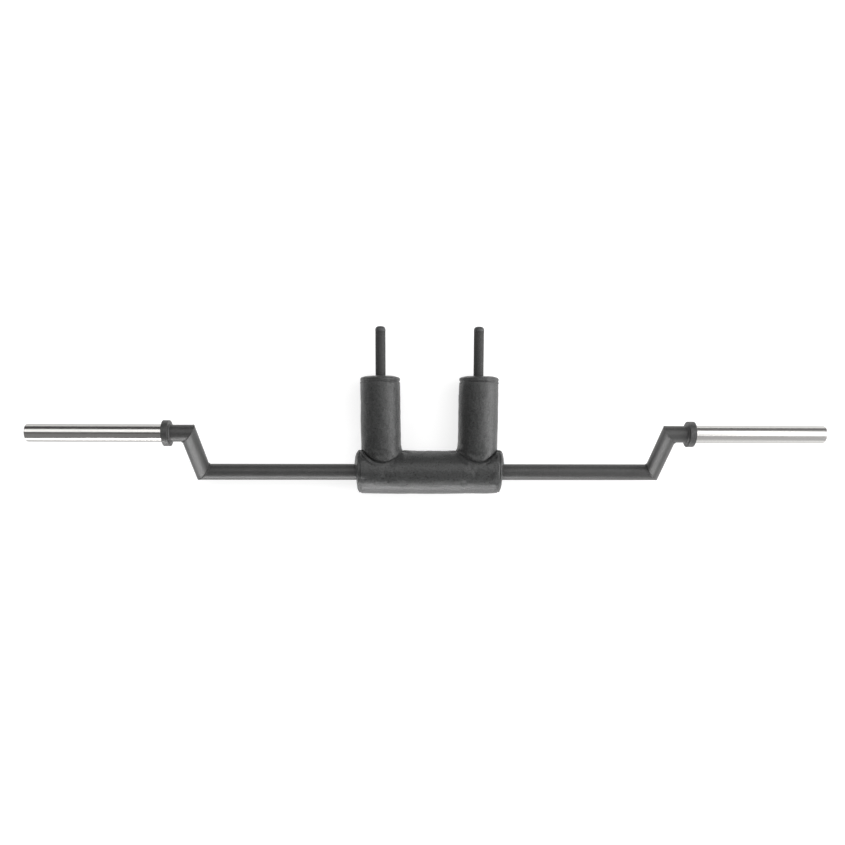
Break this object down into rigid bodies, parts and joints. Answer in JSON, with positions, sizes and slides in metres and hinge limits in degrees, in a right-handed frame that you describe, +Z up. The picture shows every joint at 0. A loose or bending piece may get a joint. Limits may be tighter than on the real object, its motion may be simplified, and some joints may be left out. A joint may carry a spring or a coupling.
{
  "type": "safety squat bar",
  "caption": "Cambered plate bar with a padded yoke, forward handles and plate sleeves that turn on their spindles.",
  "frame": {"origin": "on the floor that the pads lie on, under the middle of the part's box", "axes": "+X along the bar to the right sleeve, +Y towards the handle tips, +Z up from the floor towards the raised sleeves"},
  "size_m": [2.286, 0.4942, 0.208],
  "materials": {
    "powder_coat": "dark grey textured powder coat",
    "bright_steel": "bright ground and plated steel",
    "bare_steel": "turned steel, oiled",
    "bronze": "sintered bronze, oiled",
    "nylon": "black nylon",
    "cap_plastic": "black moulded plastic, lightly textured",
    "vinyl": "black grained vinyl",
    "foam": "dark closed-cell foam"
  },
  "bodies": {
    "frame": {"main_tube": "powder_coat", "camber_tube_left": "powder_coat", "camber_tube_right": "powder_coat", "stub_tube_left": "powder_coat", "stub_tube_right": "powder_coat", "lower_corner_weld_left": "powder_coat", "lower_corner_weld_right": "powder_coat", "upper_corner_weld_left": "powder_coat", "upper_corner_weld_right": "powder_coat", "collar_left": "powder_coat", "collar_right": "powder_coat", "collar_weld_left": "powder_coat", "collar_weld_right": "powder_coat", "handle_tube_left": "powder_coat", "handle_tube_right": "powder_coat", "handle_weld_left": "powder_coat", "handle_weld_right": "powder_coat", "handle_cap_left": "cap_plastic", "handle_cap_right": "cap_plastic", "neck_pad_foam": "foam", "neck_pad_cover": "vinyl", "neck_pad_end_panel_left": "vinyl", "neck_pad_end_panel_right": "vinyl", "shoulder_pad_foam_left": "foam", "shoulder_pad_foam_right": "foam", "shoulder_pad_cover_left": "vinyl", "shoulder_pad_cover_right": "vinyl", "shoulder_pad_end_panel_left": "vinyl", "shoulder_pad_end_panel_right": "vinyl", "spindle_left": "bare_steel", "spindle_right": "bare_steel", "thrust_washer_left": "nylon", "thrust_washer_right": "nylon", "retaining_ring_left": "bare_steel", "retaining_ring_right": "bare_steel"},
    "left_sleeve": {"sleeve_left": "bright_steel", "inner_bushing_left": "bronze", "outer_bushing_left": "bronze", "sleeve_end_cap_left": "bright_steel"},
    "right_sleeve": {"sleeve_right": "bright_steel", "inner_bushing_right": "bronze", "outer_bushing_right": "bronze", "sleeve_end_cap_right": "bright_steel"}
  },
  "joints": [
    {"name": "left_sleeve_spin", "type": "hinge", "parent": "frame", "child": "left_sleeve", "pos_m": [-0.952, -0.0664, 0.1708], "axis": [1, 0, 0], "continuous": true},
    {"name": "right_sleeve_spin", "type": "hinge", "parent": "frame", "child": "right_sleeve", "pos_m": [0.952, -0.0664, 0.1708], "axis": [1, 0, 0], "continuous": true}
  ]
}
